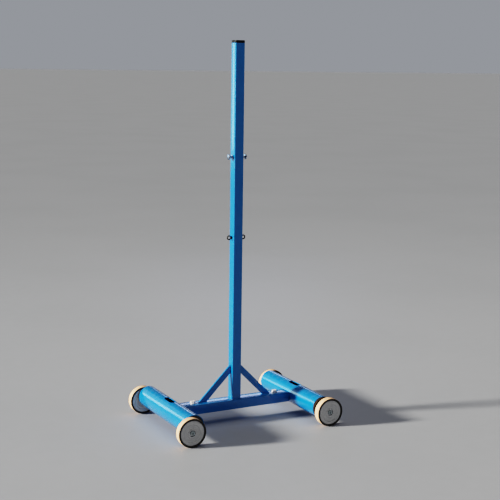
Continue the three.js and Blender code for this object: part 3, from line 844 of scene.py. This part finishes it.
def knob(node, side_name, side):
    """Flange, neck and flat round head, turned from one bar"""
    length, head_radius, place = side_fitting(node, side)
    head_back = length - KNOB_HEAD_THICKNESS
    flange = [
        (AXIS_HOLE, 0), (KNOB_FLANGE_RADIUS, 0), (KNOB_FLANGE_RADIUS, KNOB_FLANGE_THICKNESS),
        (KNOB_NECK_RADIUS, KNOB_FLANGE_THICKNESS),
    ]
    head = [
        (KNOB_NECK_RADIUS, head_back), (head_radius, head_back), (head_radius, length), (AXIS_HOLE, length),
    ]
    profile = softened(flange, KNOB_FLANGE_EDGE, closed=False) + softened(head, KNOB_HEAD_EDGE, closed=False)
    skin = turned(profile, FITTING_STEPS, closed=False)
    piece("knob_" + side_name, skin, "zinc_steel", node, place, finish=TURNED_STEEL)


def eye(node, side_name, side):
    """Ring of round wire on a collar, its opening facing front and rear"""
    length, outer, place = side_fitting(node, side)
    rings = []
    for cosine, sine in round_points(1, EYE_RING_STEPS):
        ring = []
        for off, across in round_points(EYE_WIRE_RADIUS, EYE_WIRE_STEPS):
            reach = outer - EYE_WIRE_RADIUS + off
            ring.append(Vector((across, length - outer + reach * sine, -reach * cosine)))
        rings.append(ring)
    loop = skinned(rings, closed=True)
    outline = [
        (AXIS_HOLE, 0), (EYE_COLLAR_RADIUS, 0), (EYE_COLLAR_RADIUS, EYE_COLLAR_LENGTH),
        (EYE_COLLAR_TOP_RADIUS, EYE_COLLAR_LENGTH), (AXIS_HOLE, EYE_COLLAR_LENGTH),
    ]
    collar = turned(softened(outline, EYE_COLLAR_EDGE, closed=False), FITTING_STEPS, closed=False)
    piece("eye_" + side_name, joined(loop, collar), "black_plastic", node, place)


# Clamping bolts

BOLT_FLATS = 19 * MM
HEAD_CHAMFER_SHARE = 0.95
CHAMFER_SLOPE = math.tan(math.radians(30))
BOLT_RADIUS = 6 * MM
BOLT_POINT = 1 * MM
HEAD_DISH_SHARE = 0.7
HEAD_DISH_DEPTH = 0.4 * MM
NUT_COUNTERSINK = 0.8 * MM
WASHER_EDGE = 0.35 * MM
HEX_STEPS = 72


def hexagon_ring(flats, level, chamfer=0.0):
    """Ring round a hexagon about Z, drawn back at its corners by a conical chamfer"""
    limit = flats / 2 * HEAD_CHAMFER_SHARE
    ring = []
    for i in range(HEX_STEPS):
        turn = FULL_TURN * i / HEX_STEPS
        radius = hexagon_radius(flats, turn)
        drop = (radius - limit) * CHAMFER_SLOPE * chamfer
        ring.append(Vector((radius * math.cos(turn), radius * math.sin(turn), level - drop)))
    return ring


def round_ring(radius, level):
    """Ring about Z"""
    return level_ring(round_points(radius, HEX_STEPS), level)


def hexagon_bolt(tip, seat, top):
    """Skin of a bolt about Z: shank up from its tip to the seat, washer face, and chamfered head"""
    face = BOLT_FLATS / 2 * HEAD_CHAMFER_SHARE
    dish = face * HEAD_DISH_SHARE
    return skinned([
        round_ring(BOLT_RADIUS - BOLT_POINT, tip), round_ring(BOLT_RADIUS, tip + BOLT_POINT),
        round_ring(BOLT_RADIUS, seat), round_ring(face, seat), round_ring(face, seat + WASHER_EDGE),
        hexagon_ring(BOLT_FLATS, seat + WASHER_EDGE), hexagon_ring(BOLT_FLATS, top, chamfer=1.0),
        round_ring(face, top), round_ring(dish + HEAD_DISH_DEPTH, top),
        round_ring(dish, top - HEAD_DISH_DEPTH),
    ])


def hexagon_nut(low, high):
    """Skin of a nut about Z, chamfered on both faces and countersunk round its bore"""
    face = BOLT_FLATS / 2 * HEAD_CHAMFER_SHARE
    bore = BOLT_RADIUS + WASHER_EDGE
    mouth = bore + NUT_COUNTERSINK
    return skinned([
        round_ring(bore, low + NUT_COUNTERSINK), round_ring(mouth, low), round_ring(face, low),
        hexagon_ring(BOLT_FLATS, low, chamfer=-1.0), hexagon_ring(BOLT_FLATS, high, chamfer=1.0),
        round_ring(face, high), round_ring(mouth, high), round_ring(bore, high - NUT_COUNTERSINK),
    ], closed=True)


def clamp(side_name):
    """Bolt with its head and washer on top of the crossbar, and washer and nut below"""
    upper_low, upper_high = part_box(side_name + "_clamp_washer_upper")
    place = Matrix.Translation(((upper_low.x + upper_high.x) / 2, 0, 0))
    bolt_low, bolt_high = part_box(side_name + "_clamp_bolt")
    bolt = hexagon_bolt(bolt_low.z, upper_high.z, bolt_high.z)
    piece(side_name + "_through_bolt", bolt, "zinc_steel", side_name + "_clamp_bolt", place)
    nut_low, nut_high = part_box(side_name + "_clamp_nut")
    nut = hexagon_nut(nut_low.z, nut_high.z)
    piece(side_name + "_lock_nut", nut, "zinc_steel", side_name + "_clamp_nut", place)
    for level in ("lower", "upper"):
        node = f"{side_name}_clamp_washer_{level}"
        low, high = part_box(node)
        section = ring_section(BOLT_RADIUS + WASHER_EDGE, (high.x - low.x) / 2, low.z, high.z)
        rings = [round_ring(radius, z) for radius, z in softened(section, WASHER_EDGE)]
        piece(f"{side_name}_washer_{level}", skinned(rings, closed=True), "zinc_steel", node, place)


# Ballast tubes with their fill, slots and end plates

BALLAST_STEPS = 112
BALLAST_CREASE_DEG = 12
BALLAST_WALL = 3.2 * MM
BALLAST_RIM = 0.6 * MM
SLOT_LENGTH = 76 * MM
SLOT_WIDTH = 26 * MM
SLOT_EDGE = 0.7 * MM
PLATE_EDGE = 1.2 * MM
PLATE_THICKNESS = 5 * MM
BOSS_RADIUS = 12 * MM
AXLE_BORE_RADIUS = 6.3 * MM
FILL_GAP = 0.3 * MM
FILL_ARC_STEPS = 48
FILL_TOP_STEPS = 30
FILL_ROUGH_HEIGHT = 1.6 * MM
FILL_ROUGH_SCALE = 160
FILL_FINE_SHARE = 0.5
FILL_FINER = 2.6
FILL_FINE_STEP = 2.5 * MM


def ballast_tube(side_name, axis, radius, low_y, high_y):
    """Round tube with a slot in its top, its rims creased so that glare runs straight along it"""
    wall = ring_section(radius - BALLAST_WALL, radius, low_y, high_y)
    made = piece(
        side_name + "_tube", turned(softened(wall, BALLAST_RIM, steps=2), BALLAST_STEPS), "blue_paint",
        side_name + "_ballast_tube", Matrix.Translation(axis),
    )
    slot = rounded_oblong(SLOT_WIDTH, SLOT_LENGTH, SLOT_WIDTH / 2)
    tool = skinned([level_ring(slot, z) for z in (0, radius * 2)])
    cut_from(made, tool, SLOT_EDGE, BALLAST_CREASE_DEG)


def fill_skin(radius, top, low_y, high_y):
    """Cast fill with a level but rough top, finest under the slot"""
    edge_angle = math.asin(top / radius)
    count = round(SLOT_LENGTH / FILL_FINE_STEP)
    fine = [SLOT_LENGTH * (i / count - 0.5) for i in range(count + 1)]
    rings = []
    for y in [low_y, low_y / 2] + fine + [high_y / 2, high_y]:
        ring = []
        for i in range(FILL_ARC_STEPS + 1):
            angle = math.pi - edge_angle + (math.pi + 2 * edge_angle) * i / FILL_ARC_STEPS
            ring.append(Vector((radius * math.cos(angle), y, radius * math.sin(angle))))
        reach = radius * math.cos(edge_angle)
        for i in range(1, FILL_TOP_STEPS):
            x = reach * (1 - 2 * i / FILL_TOP_STEPS)
            point = Vector((x, y, top)) * FILL_ROUGH_SCALE
            rough = noise.noise(point) + FILL_FINE_SHARE * noise.noise(point * FILL_FINER)
            ring.append(Vector((x, y, top - FILL_ROUGH_HEIGHT * (0.5 + 0.5 * rough))))
        rings.append(ring)
    return skinned(rings)


def end_plate(corner, end, axis, axle):
    """Plate inside the tube's end, with a boss behind it that holds the axle bolt"""
    low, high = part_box(corner + "_end_plate")
    radius = (high.z - low.z) / 2
    outer_face, boss_end = (low.y, high.y) if end < 0 else (high.y, low.y)
    plate_inner = outer_face - end * PLATE_THICKNESS
    offset = (axle.x - axis.x, axle.z - axis.z)
    levels = [
        circle(AXLE_BORE_RADIUS, outer_face, BALLAST_STEPS, offset),
        circle(radius - PLATE_EDGE, outer_face, BALLAST_STEPS),
        circle(radius - PLATE_EDGE / 4, outer_face - end * PLATE_EDGE / 4, BALLAST_STEPS),
        circle(radius, outer_face - end * PLATE_EDGE, BALLAST_STEPS),
        circle(radius, plate_inner, BALLAST_STEPS),
        circle(BOSS_RADIUS, plate_inner, BALLAST_STEPS, offset),
        circle(BOSS_RADIUS, boss_end, BALLAST_STEPS, offset),
        circle(AXLE_BORE_RADIUS, boss_end, BALLAST_STEPS, offset),
    ]
    piece(
        corner + "_plate", skinned(levels, closed=True), "black_paint", corner + "_end_plate",
        Matrix.Translation((axis.x, 0, axis.z)),
    )


# Wheels

WHEEL_STEPS = 128
WHEEL_HALF_WIDTH = 15 * MM
TREAD_THICKNESS = 3 * MM
TREAD_ROUND = 0.8 * MM
RING_GAP = 0.3 * MM
CORE_THICKNESS = 3.8 * MM
CORE_ROUND = 0.7 * MM
SHOULDER_WIDTH = 2 * MM
SHOULDER_DROP = 0.4 * MM
DISC_ROUND = 0.7 * MM
RIM_INSET = 1 * MM
RIM_BEVEL = 1.5 * MM
RIM_BAND = 11 * MM
WEB_INSET = 3.5 * MM
BAND_STEP = 2 * MM
HUB_RADIUS = 16 * MM
HUB_DRAFT = 1.5 * MM
HUB_INSET = 0.4 * MM
WELL_RADIUS = 13 * MM
WELL_DEPTH = 8 * MM
BORE_RADIUS = 9.3 * MM
RIDGE_SHARES = (0.34, 0.66)
RIDGE_WIDTH = 1.6 * MM
RIDGE_HEIGHT = 0.5 * MM
AXLE_HEAD_RADIUS = 9.5 * MM
AXLE_HEAD_ROUND = 1.2 * MM
SOCKET_FLATS = 8 * MM
SOCKET_DEPTH = 4 * MM
SOCKET_BEVEL = 0.4 * MM
SOCKET_TIP_RADIUS = 1 * MM
AXLE_STEPS = 72


def disc_face(radius, sign):
    """Profile of one face of the disc from its rim inwards, as (radius, distance from the middle)"""
    rim = WHEEL_HALF_WIDTH - RIM_INSET
    web = WHEEL_HALF_WIDTH - WEB_INSET
    band_inner = radius - RIM_BAND
    web_outer = band_inner - BAND_STEP
    foot = HUB_RADIUS + HUB_DRAFT
    points = [
        (radius, rim - RIM_BEVEL), (radius - RIM_BEVEL, rim), (band_inner, rim), (web_outer, web),
    ]
    for share in reversed(RIDGE_SHARES):
        middle = foot + (web_outer - foot) * share
        points += [
            (middle + RIDGE_WIDTH, web), (middle + RIDGE_WIDTH / 2, web + RIDGE_HEIGHT),
            (middle - RIDGE_WIDTH / 2, web + RIDGE_HEIGHT), (middle - RIDGE_WIDTH, web),
        ]
    points += [(foot, web), (HUB_RADIUS, WHEEL_HALF_WIDTH - HUB_INSET)]
    return [(r, sign * y) for r, y in points]


def wheel(corner, end):
    """Tread, tyre core and disc of one wheel, its outer face turned away from the tube, and its axle"""
    low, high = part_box(corner + "_wheel_tread")
    radius = (high.z - low.z) / 2
    tread_half = (high.y - low.y) / 2
    centre = (low + high) / 2
    turn = Matrix.Rotation(0 if end > 0 else math.pi, 4, "Z")
    place = Matrix.Translation(centre) @ turn

    def part(name, section, rounding, slot, steps=ARC_STEPS):
        skin = turned(softened(section, rounding, steps), WHEEL_STEPS)
        piece(f"{corner}_{name}", skin, slot, f"{corner}_wheel_{name}", place, corner + "_wheel")

    tread_inner = radius - TREAD_THICKNESS
    part("tread", ring_section(tread_inner, radius, -tread_half, tread_half), TREAD_ROUND, "cream_rubber")
    core_low, core_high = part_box(corner + "_wheel_tyre_core")
    core_half = (core_high.y - core_low.y) / 2
    core_outer = tread_inner - RING_GAP
    core_inner = core_outer - CORE_THICKNESS
    shoulder = radius - SHOULDER_DROP
    shoulder_inner = WHEEL_HALF_WIDTH - SHOULDER_WIDTH
    core = [
        (core_inner, -core_half), (shoulder, -core_half), (shoulder, -shoulder_inner),
        (core_outer, -shoulder_inner), (core_outer, shoulder_inner), (shoulder, shoulder_inner),
        (shoulder, core_half), (core_inner, core_half),
    ]
    part("tyre_core", core, CORE_ROUND, "black_rubber")
    disc_radius = core_inner - RING_GAP
    well = WHEEL_HALF_WIDTH - WELL_DEPTH
    hub_face = WHEEL_HALF_WIDTH - HUB_INSET
    disc = disc_face(disc_radius, -1)[::-1] + disc_face(disc_radius, 1) + [
        (WELL_RADIUS, hub_face), (WELL_RADIUS, well), (BORE_RADIUS, well), (BORE_RADIUS, -hub_face),
    ]
    part("disc", disc, DISC_ROUND, "grey_nylon", steps=3)
    axle(corner, place)


def axle(corner, place):
    """Axle bolt with a hexagon socket, its washer and the spacer behind the wheel"""
    to_local = place.inverted()

    def along_axle(node):
        return sorted((to_local @ corner_point).y for corner_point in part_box(node))

    tip, head_top = along_axle(corner + "_axle_bolt")
    socket_floor = head_top - SOCKET_DEPTH
    seat = along_axle(corner + "_axle_washer")[1] + RING_GAP
    outline = [(BOLT_RADIUS, seat), (AXLE_HEAD_RADIUS, seat), (AXLE_HEAD_RADIUS, head_top)]
    head = softened(outline + [(SOCKET_FLATS, head_top)], AXLE_HEAD_ROUND, closed=False)
    rings = [round_ring(BOLT_RADIUS - BOLT_POINT, tip), round_ring(BOLT_RADIUS, tip + BOLT_POINT)]
    rings += [round_ring(radius, level) for radius, level in head[:-1]]
    rings += [
        hexagon_ring(SOCKET_FLATS + 2 * SOCKET_BEVEL, head_top),
        hexagon_ring(SOCKET_FLATS, head_top - SOCKET_BEVEL), hexagon_ring(SOCKET_FLATS, socket_floor),
        round_ring(SOCKET_TIP_RADIUS, socket_floor - SOCKET_BEVEL),
    ]
    points, faces = skinned(rings)
    laid = Matrix.Rotation(-math.pi / 2, 4, "X")
    skin = [laid @ point for point in points], faces
    # The bolt wears the darkened zinc: painted shade of the hub recess
    piece(corner + "_bolt", skin, "zinc_steel", corner + "_axle_bolt", place, finish=RECESS_SHADE_ZINC)
    for name in ("washer", "spacer"):
        node = f"{corner}_axle_{name}"
        low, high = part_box(node)
        section = ring_section(BOLT_RADIUS + RING_GAP, (high.z - low.z) / 2, *along_axle(node))
        skin = turned(softened(section, WASHER_EDGE), AXLE_STEPS)
        piece(f"{corner}_{name}", skin, "zinc_steel", node, place)


def saddle_path(side_name, axis, radius, side):
    """Where a stub tube's outline meets the ballast tube"""
    low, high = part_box(side_name + "_stub_tube")
    path = []
    for y, z in rounded_oblong(high.y - low.y, high.z - low.z, TUBE_CORNER):
        height = z + bar_axis.z - axis.z
        path.append(Vector((axis.x - side * math.sqrt(radius ** 2 - height ** 2), y, z + bar_axis.z)))
    return path


for side_name, side in SIDES.items():
    knob("cord_knob_" + side_name, side_name, side)
    eye("cord_eye_" + side_name, side_name, side)
    clamp(side_name)
    tube_low, tube_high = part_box(side_name + "_ballast_tube")
    axis = (tube_low + tube_high) / 2
    radius = (tube_high.z - tube_low.z) / 2
    axis.y = 0
    ballast_tube(side_name, axis, radius, tube_low.y, tube_high.y)
    fill_low, fill_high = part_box(side_name + "_ballast_fill")
    fill = fill_skin(radius - BALLAST_WALL - FILL_GAP, fill_high.z - axis.z, fill_low.y, fill_high.y)
    piece(side_name + "_fill", fill, "cast_ballast", side_name + "_ballast_fill", Matrix.Translation(axis))
    weld(f"weld_{side_name}_saddle", saddle_path(side_name, axis, radius, side), SADDLE_BEAD, SIDEWAYS)
    for end_name, end in (("front", -1), ("rear", 1)):
        corner = side_name + "_" + end_name
        wheel_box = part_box(corner + "_wheel_tread")
        end_plate(corner, end, axis, (wheel_box[0] + wheel_box[1]) / 2)
        wheel(corner, end)


# Studio: a pale floor, a low soft key from the left, a ceiling, and sheets that only gloss shows

FLOOR_SIZE = 400.0
FLOOR_COLOUR = (0.43, 0.455, 0.53, 1)
FLOOR_PATCH_COLOUR = (0.4, 0.425, 0.495, 1)
KEY_TOWARDS = (-0.97, 0.25, 0.31)
KEY_DISTANCE = 6
KEY_STRENGTH = 5.6
KEY_SPREAD_DEG = 6
KEY_COLOUR = (1.0, 0.93, 0.76)
HORIZON_COLOUR = (0.235, 0.245, 0.265, 1)
ZENITH_COLOUR = (0.06, 0.066, 0.08, 1)
HORIZON_TOP = 0.04
ZENITH_FROM = 0.3
# Sheets of light as (place, point they face, width, height, brightness, colour)
CEILING = ((0, 0, 5), (0, 0, 0), 5, 5, 0.8, (1.0, 0.93, 0.78))
# These show as glare in glossy faces and light nothing else
GLOSS_SHEETS = {
    "bar_top": ((2.35, 4.4, 1.55), (0, 0, 0.09), 1.3, 0.5, 2.6, (0.5, 0.6, 0.98)),
    "upright": ((-2.36, 4.4, 1.5), (0, 0, 1.3), 0.5, 1.5, 3.6, (0.5, 0.8, 1.0)),
    "tubes": ((-1.63, 3.65, 1.5), (0, 0, 0.1), 2.3, 1.7, 0.5, (0.65, 0.86, 1.0)),
}


def make_floor():
    finish = Finish("studio_floor", Roughness=0.6)
    drift = finish.group(
        MOTTLE, "floor", Colour=FLOOR_COLOUR, Patch_Colour=FLOOR_PATCH_COLOUR,
        Patch_Scale=0.8, Fine_Scale=14.0, Amount=0.5,
    )
    finish.set("Base Color", drift)
    mesh = bpy.data.meshes.new("floor")
    half = FLOOR_SIZE / 2
    corners = [(-half, -half, 0), (half, -half, 0), (half, half, 0), (-half, half, 0)]
    mesh.from_pydata(corners, [], [(0, 1, 2, 3)])
    mesh.materials.append(finish.material)
    floor = bpy.data.objects.new("floor", mesh)
    bpy.context.scene.collection.objects.link(floor)
    floor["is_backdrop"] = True


def place_light(name, data, place, towards):
    light = bpy.data.objects.new(name, data)
    light.location = place
    light.rotation_mode = "QUATERNION"
    light.rotation_quaternion = Vector(towards).to_track_quat("-Z", "Y")
    light.visible_camera = False
    bpy.context.scene.collection.objects.link(light)
    return light


def soft_key():
    data = bpy.data.lights.new("key", "SUN")
    data.energy = KEY_STRENGTH
    data.angle = math.radians(KEY_SPREAD_DEG)
    data.color = KEY_COLOUR
    place_light("key", data, Vector(KEY_TOWARDS) * KEY_DISTANCE, -Vector(KEY_TOWARDS))


def light_sheet(name, place, target, width, height, radiance, colour):
    """Upright rectangle of light of an even brightness, facing a point"""
    data = bpy.data.lights.new(name, "AREA")
    data.shape = "RECTANGLE"
    data.size = width
    data.size_y = height
    data.energy = radiance * math.pi * width * height
    data.color = colour
    return place_light(name, data, place, Vector(target) - Vector(place))


def make_world():
    """Pale towards the horizon and dimmer above"""
    world = bpy.data.worlds.new("studio")
    world.use_nodes = True
    nodes = Tree(world.node_tree)
    direction = nodes.parts(nodes.add("ShaderNodeTexCoord").outputs["Generated"])
    height = nodes.mapped(direction["Z"], HORIZON_TOP, ZENITH_FROM)
    background = world.node_tree.nodes["Background"]
    nodes.join(nodes.mixed(height, HORIZON_COLOUR, ZENITH_COLOUR), background.inputs["Color"])
    bpy.context.scene.world = world


make_floor()
make_world()
soft_key()
light_sheet("ceiling", *CEILING)
for sheet_name, sheet in GLOSS_SHEETS.items():
    light_sheet("sheet_" + sheet_name, *sheet).visible_diffuse = False
bpy.context.scene.view_settings.view_transform = "Filmic"
bpy.context.scene.view_settings.look = "Very High Contrast"

low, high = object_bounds()
